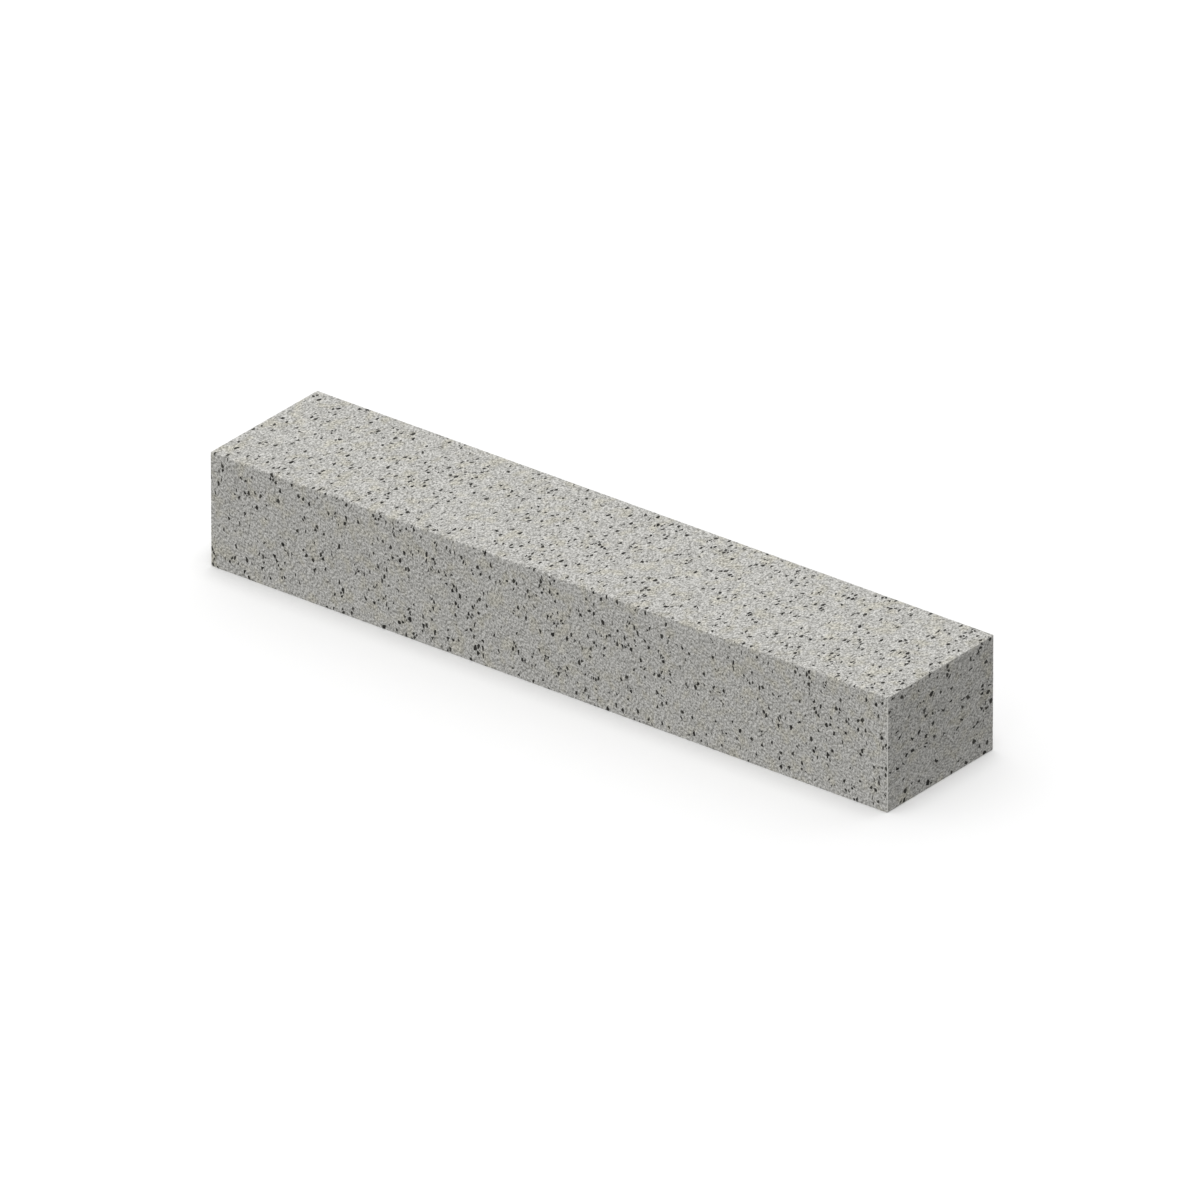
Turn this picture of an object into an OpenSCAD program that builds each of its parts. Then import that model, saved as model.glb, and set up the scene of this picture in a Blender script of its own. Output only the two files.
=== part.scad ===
// Concrete palisade: a solid, straight-sided post of shot-blasted precast
// concrete. Such posts are set on end, side by side, in a strip of footing
// concrete to edge a bed, a step or a low bank. It is cast in one piece and has
// no holes, so all that shapes it is its three sizes and the small bevel that
// the mould leaves on every arris.
//
// The post lies on one broad face. +X runs from its foot to its head, +Y across
// the broad face and +Z up. The origin is the middle of the bed face.

/* [Post] */
// Length of the post, from its foot to its head
post_length = 800; // [300:50:2000]
// Width of the two broad faces
broad_face = 160; // [80:5:300]
// Width of the two narrow faces, which is also how high the lying post stands
narrow_face = 120; // [60:5:250]

/* [Arrises] */
// How far the bevel on each arris is set back from the two faces that it joins
arris_bevel = 1; // [0.5:0.5:10]

/* [Hidden] */

// The upright, rectangular outline of the mould, centred, with its four corners
// cut back by the bevel.
module bevelled_rectangle(across, up) {
    x = across / 2;
    y = up / 2;
    b = arris_bevel;
    polygon([
        [x, b - y], [x, y - b],
        [x - b, y], [b - x, y],
        [-x, y - b], [-x, b - y],
        [b - x, -y], [x - b, -y]
    ]);
}

// A straight bar of that outline, centred, running along Z.
module bevelled_bar(across, up, run) {
    linear_extrude(height = run, center = true)
        bevelled_rectangle(across, up);
}

// The post is what three such bars have in common, one along each axis: each
// bar bevels the four arrises that run its own way.
module palisade() {
    color("#B7B6B0")
        translate([0, 0, narrow_face / 2])
            intersection() {
                bevelled_bar(post_length, broad_face, narrow_face);
                rotate([90, 0, 0])
                    bevelled_bar(post_length, narrow_face, broad_face);
                rotate([90, 0, 90])
                    bevelled_bar(broad_face, narrow_face, post_length);
            }
}

palisade();
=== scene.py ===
import math
import bpy
import numpy as np
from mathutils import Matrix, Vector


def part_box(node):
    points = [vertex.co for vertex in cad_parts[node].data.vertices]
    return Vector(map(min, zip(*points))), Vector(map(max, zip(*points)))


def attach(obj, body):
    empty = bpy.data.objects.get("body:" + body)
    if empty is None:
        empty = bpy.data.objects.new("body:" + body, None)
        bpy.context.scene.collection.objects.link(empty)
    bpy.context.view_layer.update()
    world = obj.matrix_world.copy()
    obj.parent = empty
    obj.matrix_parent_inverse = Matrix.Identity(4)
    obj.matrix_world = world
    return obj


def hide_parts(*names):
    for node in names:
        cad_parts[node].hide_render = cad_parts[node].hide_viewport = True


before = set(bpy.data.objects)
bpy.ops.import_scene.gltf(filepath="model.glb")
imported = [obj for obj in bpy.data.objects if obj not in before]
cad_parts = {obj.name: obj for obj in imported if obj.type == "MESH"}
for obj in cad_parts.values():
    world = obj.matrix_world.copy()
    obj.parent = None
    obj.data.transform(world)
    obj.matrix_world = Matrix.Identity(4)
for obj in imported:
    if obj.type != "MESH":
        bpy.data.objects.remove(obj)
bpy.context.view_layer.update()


# --- The post -----------------------------------------------------------------------------
# A solid post of facing concrete: pale cement and quartz sand with a scatter of dark basalt
# chippings. It is cast in one piece in a steel mould, which bevels each arris, and is then
# shot-blasted all over, which wears its cement skin back to the sand.

mm = 0.001
low, high = (np.array(corner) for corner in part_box("palisade"))
middle = (low + high) / 2
half = (high - low) / 2

arris_radius = 1.0 * mm
arris_wear = 0.2 * mm
face_relief = 0.12 * mm
grid_pitch = 2.45 * mm
arris_steps = 4


def cuts(half_side):
    """Where the grid's lines cross a side of the box, measured from its middle: evenly spaced
    over the flat, and at each end by equal angles seen from the centre line of the arris."""
    flat = half_side - arris_radius
    even = np.linspace(-flat, flat, round(2 * flat / grid_pitch) + 1)
    bend = arris_radius * np.tan(np.linspace(0, math.pi / 4, arris_steps + 1)[1:])
    return np.concatenate([-flat - bend[::-1], even, flat + bend])


def box_face(axis, side):
    """One face of the sharp box: a grid over its two own directions, with the third fixed at
    plus or minus half the box. Returns the grid's points and its quads, facing outwards."""
    first, second = (axis + 1) % 3, (axis + 2) % 3
    a, b = np.meshgrid(cuts(half[first]), cuts(half[second]), indexing="ij")
    points = np.empty(a.shape + (3,))
    points[..., first] = a
    points[..., second] = b
    points[..., axis] = side * half[axis]
    number = np.arange(a.size).reshape(a.shape)
    ring = [number[:-1, :-1], number[1:, :-1], number[1:, 1:], number[:-1, 1:]]
    quads = np.stack(ring[::side], axis=-1).reshape(-1, 4)
    return points.reshape(-1, 3), quads


def sharp_box():
    """The six faces joined: points at the same place, to a thousandth of a grid step, become
    one point, and the quads of all six faces are numbered through to those points."""
    faces = [box_face(axis, side) for axis in range(3) for side in (-1, 1)]
    starts = np.cumsum([0] + [len(points) for points, quads in faces])
    points = np.concatenate([points for points, quads in faces])
    quads = np.concatenate([quads + start for (_, quads), start in zip(faces, starts)])
    places = np.round(points / (grid_pitch / 1000)).astype(int)
    _, kept, joined = np.unique(places, axis=0, return_index=True, return_inverse=True)
    return points[kept], joined.reshape(-1)[quads]


def rounded(points):
    """The rounded box: each point starts from the nearest point of an inner box, which is one
    arris radius smaller all round, and lies one radius out from it. Returns the points and
    their outward directions."""
    inner = np.clip(points, arris_radius - half, half - arris_radius)
    out = points - inner
    out /= np.linalg.norm(out, axis=1, keepdims=True)
    return inner + arris_radius * out, out


def ripples(points, shortest, longest, seed):
    """Random unevenness with no grain to it, between -1 and 1: the sum of plane waves, each
    with its own direction, phase and wavelength between the two that are given, divided by
    two and a half times its standard deviation and cut off at -1 and 1."""
    draw = np.random.default_rng(seed)
    count = 48
    direction = draw.normal(size=(count, 3))
    direction /= np.linalg.norm(direction, axis=1, keepdims=True)
    length = draw.uniform(shortest, longest, count)
    phase = draw.uniform(0, 2 * math.pi, count)
    waves = np.sin(points @ (2 * math.pi * direction / length[:, None]).T + phase)
    usual_sum = math.sqrt(count / 2)
    return np.clip(waves.sum(axis=1) / (2.5 * usual_sum), -1, 1)


def blasted(points, out, bend):
    """Wears the points inwards, never outwards: every face by a fine relief, and the arrises,
    where bend is 1, by more in some places than in others."""
    relief = face_relief * (1 - ripples(points, 6 * mm, 18 * mm, seed=1)) / 2
    wear = arris_wear * bend * (1 + ripples(points, 5 * mm, 30 * mm, seed=2)) / 2
    return points - (relief + wear)[:, None] * out


sharp_points, quads = sharp_box()
smooth_points, outward = rounded(sharp_points)
# 0 on the faces and 1 from the middle of an arris on
bend = np.clip((1 - np.abs(outward).max(axis=1)) / (1 - math.sqrt(0.5)), 0, 1)
worn_points = blasted(smooth_points, outward, bend)
# painted highlight along the arrises round the two ends, the upright ones the most; there it is 1 over
# the middle of the arris, where x is 0.71
arris_highlight = np.clip(2.5 * bend, 0, 1) * np.clip(1.45 * np.abs(outward[:, 0]), 0, 1)
arris_highlight *= 1 - np.abs(outward[:, 2])

post_mesh = bpy.data.meshes.new("post")
post_mesh.from_pydata((worn_points + middle).tolist(), [], quads.tolist())
post_mesh.attributes.new("arris_highlight", "FLOAT", "POINT").data.foreach_set("value", arris_highlight)
post_mesh.shade_smooth()
post = bpy.data.objects.new("post", post_mesh)
bpy.context.scene.collection.objects.link(post)


def linear(hex_colour):
    """An sRGB colour written as six hex digits, as linear red, green, blue and alpha."""
    srgb = np.array([int(hex_colour[i:i + 2], 16) for i in (1, 3, 5)]) / 255
    rgb = np.where(srgb <= 0.04045, srgb / 12.92, ((srgb + 0.055) / 1.055) ** 2.4)
    return (*rgb.tolist(), 1.0)


def add(tree, kind, inputs={}, **settings):
    """Adds a shader node: settings are its own properties, and inputs gives each socket, by
    name or number, a value or the output that it is linked from."""
    node = tree.nodes.new("ShaderNode" + kind)
    for name, value in settings.items():
        setattr(node, name, value)
    for key, value in inputs.items():
        socket = next(s for i, s in enumerate(node.inputs) if s.enabled and key in (i, s.name))
        if isinstance(value, bpy.types.NodeSocket):
            tree.links.new(value, socket)
        else:
            socket.default_value = value
    return node


def shot_blasted_concrete():
    """Facing concrete, cast and then shot-blasted. The dull paste is worn back to its sand, which
    mottles it from grain to grain, and the dark chippings that are cut through at the surface
    show as speckle. There is no sheen, because nothing is left of the smooth cement skin."""
    material = bpy.data.materials.new("shot_blasted_facing_concrete")
    material.use_nodes = True
    tree = material.node_tree
    shader = tree.nodes["Principled BSDF"]

    # all patterns are in millimetres, apart from how each is stretched, and turned so that no
    # face of the post lies along the lattice of a noise, where the noise would fade
    position = add(tree, "TexCoord").outputs["Object"]
    turn = (0.6, 0.4, 0.9)

    # quartz sand in cement, pale on the grains and darker in the paste between them; the coarse noise
    # is also the relief's height, so this is partly the sand's own colour and partly painted shade in
    # the pits; the grains are 0.3 to 2 mm, and the finer ones are drawn at 0.9 mm, because they would
    # not show; all are 1.3 times as long across the post as along it
    fine_grain = 0.9
    coarse_grain = 2.0
    laid = {"Rotation": turn, "Scale": (1000, 770, 1000)}
    sand = add(tree, "Mapping", {**laid, "Vector": position}).outputs[0]
    fine = add(tree, "TexNoise", {"Vector": sand, "Scale": 1 / fine_grain, "Detail": 0.0})
    coarse = add(tree, "TexNoise", {"Vector": sand, "Scale": 1 / coarse_grain, "Detail": 0.0})
    fine_shade = add(tree, "MapRange", {"Value": fine.outputs["Fac"], "From Min": 0.25,
                                        "From Max": 0.75, "To Min": -0.24, "To Max": 0.24})

    # painted light and shade of a relief lit from one side: from the coarse noise, two fifths of the
    # same noise 2.2 mm away is taken away, so that each coarse grain gets a painted dark side
    emboss_offset = (-0.9 * mm, -0.7 * mm, 1.9 * mm)
    emboss_point = add(tree, "VectorMath", {0: position, 1: emboss_offset}, operation="ADD")
    emboss_sand = add(tree, "Mapping", {**laid, "Vector": emboss_point.outputs[0]}).outputs[0]
    emboss_noise = add(tree, "TexNoise", {"Vector": emboss_sand, "Scale": 1 / coarse_grain, "Detail": 0.0})
    embossed_coarse = add(tree, "Math", {0: emboss_noise.outputs["Fac"], 1: -0.4, 2: coarse.outputs["Fac"]},
                 operation="MULTIPLY_ADD")
    coarse_tone_and_painted_shade = add(tree, "MapRange", {"Value": embossed_coarse.outputs[0], "From Min": 0.05,
                                          "From Max": 0.55, "To Min": 0.255, "To Max": 0.745})
    # the sand's own tone together with the painted pit shade and the painted emboss light and shade
    sand_tone_and_painted_shade = add(tree, "Math", {0: fine_shade.outputs[0], 1: coarse_tone_and_painted_shade.outputs[0]}, operation="ADD")
    colour = add(tree, "Mix", {"Factor": sand_tone_and_painted_shade.outputs[0], "A": linear("#62615C"),
                               "B": linear("#E0DFDB")}, data_type="RGBA").outputs[2]

    # a trace of iron in the sand warms it in faint patches, drawn on a lattice of 14 mm
    patch_lattice = 14
    iron = add(tree, "TexNoise", {"Vector": sand, "Scale": 1 / patch_lattice, "Detail": 1.0})
    warmth = add(tree, "MapRange", {"Value": iron.outputs["Fac"], "From Min": 0.50, "From Max": 0.70})
    colour = add(tree, "Mix", {"Factor": warmth.outputs[0], "A": colour, "B": linear("#FFFDF5")},
                 data_type="RGBA", blend_type="MULTIPLY").outputs[2]

    # basalt chippings: cells of a packing that fills the post, most of which show 2 to 5 mm long
    # where its surface cuts them; they are flaky and lie across the post, and the stirring
    # makes them crooked
    across = {"Rotation": turn, "Scale": (1170, 680, 760)}
    flaky = add(tree, "Mapping", {**across, "Vector": position}).outputs[0]
    stir_size = 2.2
    stir_strength = 1.4
    stir = add(tree, "TexNoise", {"Vector": flaky, "Scale": 1 / stir_size, "Detail": 0.0})
    stir = add(tree, "VectorMath", {0: stir.outputs["Color"], 1: (0.5, 0.5, 0.5)},
               operation="SUBTRACT")
    stirred = add(tree, "VectorMath", {0: stir.outputs[0], 1: (stir_strength,) * 3, 2: flaky},
                  operation="MULTIPLY_ADD").outputs[0]
    chipping = 3.6
    cell = add(tree, "TexVoronoi", {"Vector": stirred, "Scale": 1 / chipping})
    rim = add(tree, "TexVoronoi", {"Vector": stirred, "Scale": 1 / chipping},
              feature="DISTANCE_TO_EDGE")
    draw = add(tree, "SeparateColor", {"Color": cell.outputs["Color"]})

    # about one cell in nine is basalt, picked at random with the same chance everywhere
    basalt_share = 0.117
    basalt = add(tree, "Math", {0: draw.outputs["Red"], 1: basalt_share}, operation="LESS_THAN")

    # a chipping fills its cell to within 0.4 to 0.7 mm of the walls
    inside = add(tree, "MapRange", {"Value": rim.outputs["Distance"], "From Min": 0.42 / chipping,
                                    "From Max": 0.50 / chipping}, interpolation_type="SMOOTHSTEP")
    mask = add(tree, "Math", {0: basalt.outputs[0], 1: inside.outputs[0]}, operation="MULTIPLY")
    black = add(tree, "Mix", {"Factor": draw.outputs["Green"], "A": linear("#161512"),
                              "B": linear("#3A3934")}, data_type="RGBA").outputs[2]
    colour = add(tree, "Mix", {"Factor": mask.outputs[0], "A": colour, "B": black},
                 data_type="RGBA").outputs[2]

    # painted highlight: the arrises round the ends are painted pale
    arris_highlight_part = add(tree, "Attribute", attribute_name="arris_highlight").outputs["Fac"]
    colour = add(tree, "Mix", {"Factor": arris_highlight_part, "A": colour, "B": linear("#E6E5E0")},
                 data_type="RGBA").outputs[2]

    # the chippings are smoother than the blasted paste, whose pits swallow most of its gloss
    roughness = add(tree, "MapRange", {"Value": mask.outputs[0], "To Min": 0.93, "To Max": 0.70})
    relief = add(tree, "Bump", {"Height": coarse.outputs["Fac"], "Distance": 0.5 * mm, "Strength": 1.0})
    tree.links.new(colour, shader.inputs["Base Color"])
    tree.links.new(roughness.outputs[0], shader.inputs["Roughness"])
    tree.links.new(relief.outputs["Normal"], shader.inputs["Normal"])
    shader.inputs["IOR"].default_value = 1.5
    shader.inputs["Specular IOR Level"].default_value = 0.2
    return material


post_mesh.materials.append(shot_blasted_concrete())
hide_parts("palisade")
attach(post, "root")


# --- The floor ----------------------------------------------------------------------------
# The studio floor that the post lies on, painted matt white. It reaches 22 m from the middle
# of the post each way, so that it also fills the view from low down.

floor_reach = 22.0
floor_mesh = bpy.data.meshes.new("floor")
floor_mesh.from_pydata(
    [(x * floor_reach, y * floor_reach, low[2]) for x, y in ((-1, -1), (1, -1), (1, 1), (-1, 1))],
    [], [(0, 1, 2, 3)])
floor = bpy.data.objects.new("floor", floor_mesh)
bpy.context.scene.collection.objects.link(floor)
matt_white = bpy.data.materials.new("matt_white_floor_paint")
matt_white.use_nodes = True
matt_white.node_tree.nodes["Principled BSDF"].inputs["Base Color"].default_value = linear("#F4F4F4")
matt_white.node_tree.nodes["Principled BSDF"].inputs["Roughness"].default_value = 1.0
floor_mesh.materials.append(matt_white)
# the floor takes the post's shadow, but throws no light back, so that the post's sides are
# lit evenly from top to bottom
floor.visible_diffuse = False
floor.visible_shadow = False


# --- The lights ---------------------------------------------------------------------------
# Three soft lamps, one overhead, one low in front and one low behind, in a room whose pale
# walls throw an even light on every side of the post.

def soft_light(name, azimuth, elevation, spread, strength):
    """A sun lamp that shines from this azimuth and elevation, blurred over spread degrees. An
    azimuth of 0 is straight in front, on the -Y side, and 90 is on the +X side."""
    lamp = bpy.data.lights.new(name, "SUN")
    lamp.energy = strength
    lamp.angle = math.radians(spread)
    lit = bpy.data.objects.new(name, lamp)
    turn = math.radians(azimuth)
    lit.rotation_euler = (math.radians(90 - elevation), 0, turn)
    bpy.context.scene.collection.objects.link(lit)


soft_light("overhead", azimuth=101, elevation=87, spread=30, strength=1.36)
soft_light("front", azimuth=-11, elevation=14, spread=132, strength=1.27)
soft_light("back", azimuth=213, elevation=25, spread=114, strength=1.25)
world = bpy.data.worlds.new("studio")
world.use_nodes = True
world.node_tree.nodes["Background"].inputs["Color"].default_value = (1, 1, 1, 1)
world.node_tree.nodes["Background"].inputs["Strength"].default_value = 0.38
bpy.context.scene.world = world
bpy.context.scene.view_settings.view_transform = "Standard"


# --- The camera ---------------------------------------------------------------------------
# A very long lens from far off, so that the post's edges stay as good as parallel. It looks at
# the middle of the post from above, with its right side and its head end in view.

azimuth, elevation = math.radians(38.2), math.radians(27.5)
frame_width = 1.115
camera_data = bpy.data.cameras.new("camera")
camera_data.lens = 1000
camera_data.sensor_width = 36
distance = frame_width * camera_data.lens / camera_data.sensor_width
camera_data.clip_end = 3 * distance
camera = bpy.data.objects.new("camera", camera_data)
away = (math.sin(azimuth) * math.cos(elevation), -math.cos(azimuth) * math.cos(elevation),
        math.sin(elevation))
camera.location = middle + distance * np.array(away)
camera.rotation_euler = (math.pi / 2 - elevation, 0, azimuth)
bpy.context.scene.collection.objects.link(camera)
bpy.context.scene.camera = camera
